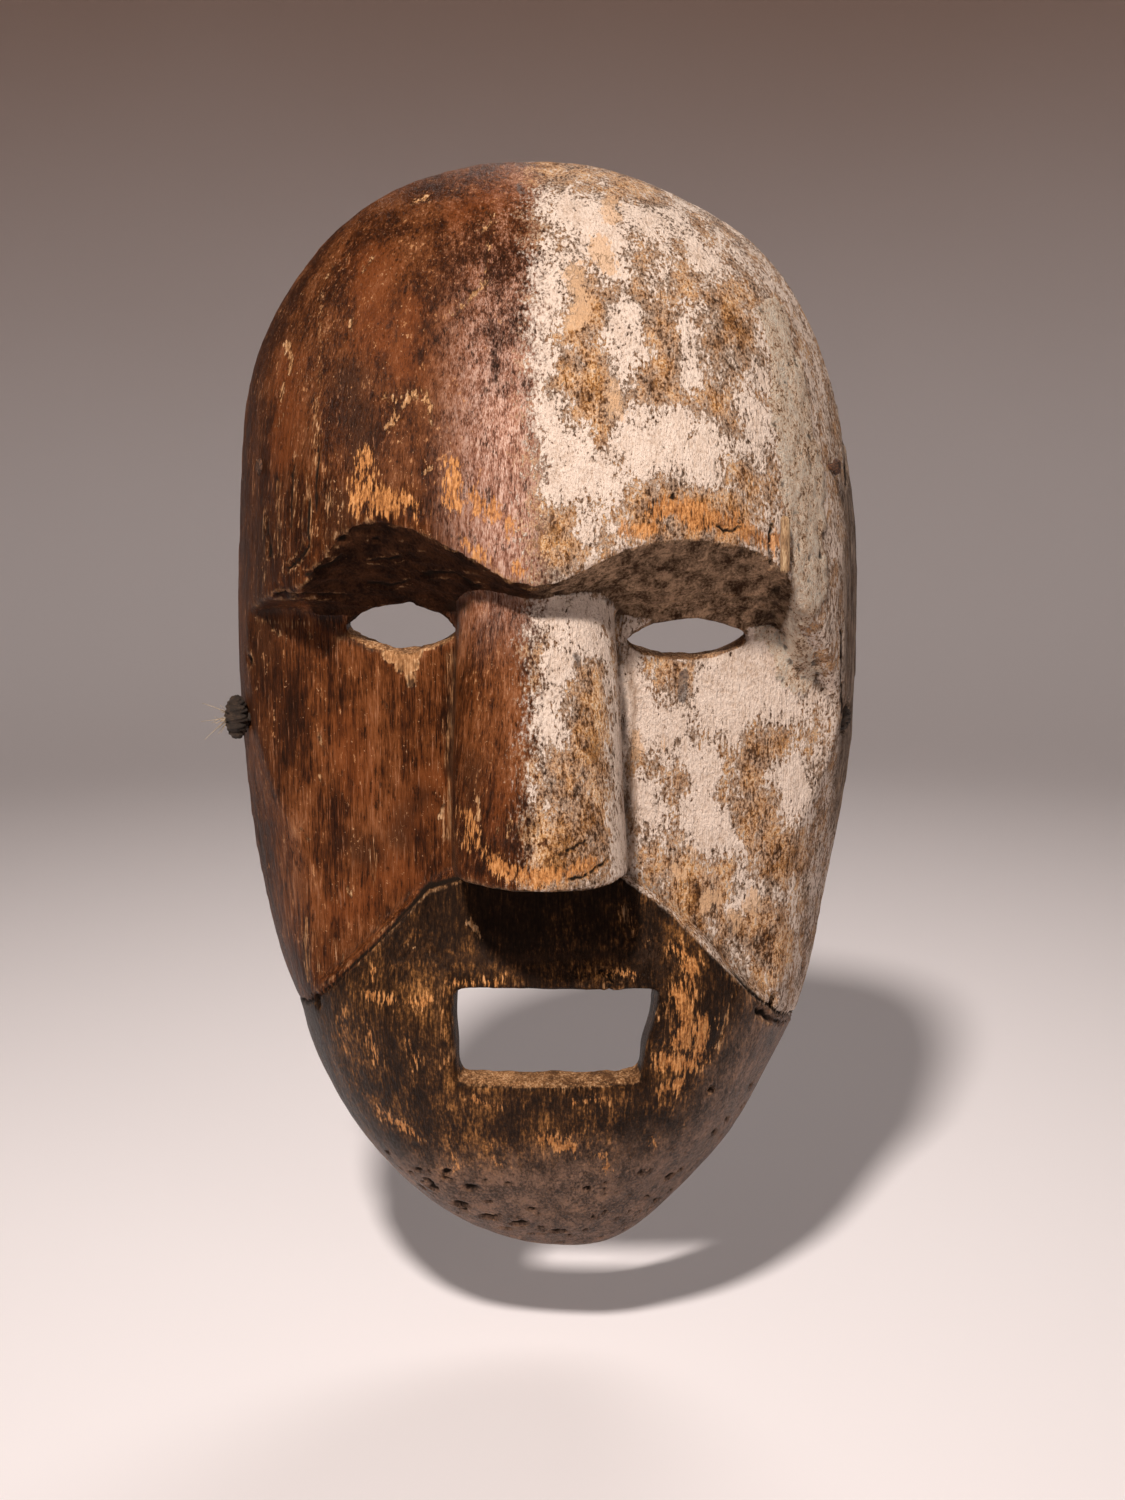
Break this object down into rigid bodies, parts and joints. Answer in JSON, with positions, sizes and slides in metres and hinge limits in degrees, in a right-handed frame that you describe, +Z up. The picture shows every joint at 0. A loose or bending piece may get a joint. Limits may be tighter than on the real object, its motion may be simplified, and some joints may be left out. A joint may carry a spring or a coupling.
{
  "type": "carved wooden mask",
  "caption": "Carved wooden face mask, half brown and half chalk white, with a domed forehead, heavy brow, block nose, eye slits, square mouth and hollow back.",
  "frame": {"origin": "the middle of the open back, in the plane of the flat back rim", "axes": "-Y the way the face looks, +Y out of the open back towards the wearer or the wall, +Z up, +X to the viewer's right"},
  "size_m": [0.1905, 0.088, 0.3243],
  "materials": {
    "painted_wood": "waxed and worn brown on the viewer's left, worn white chalk paint on the right, near black beard",
    "peg_wood": "bare split wood",
    "old_iron": "rusted",
    "cord_fibre": "dark twisted fibre",
    "frayed_fibre": "pale loose fibre"
  },
  "bodies": {
    "root": {"mask_shell": "painted_wood", "brow_peg": "peg_wood", "side_nail_left": "old_iron", "side_nail_right": "old_iron", "hanging_cord": "cord_fibre", "cord_knot_left": "cord_fibre", "cord_knot_right": "cord_fibre", "cord_fray_left": "frayed_fibre"}
  },
  "joints": []
}
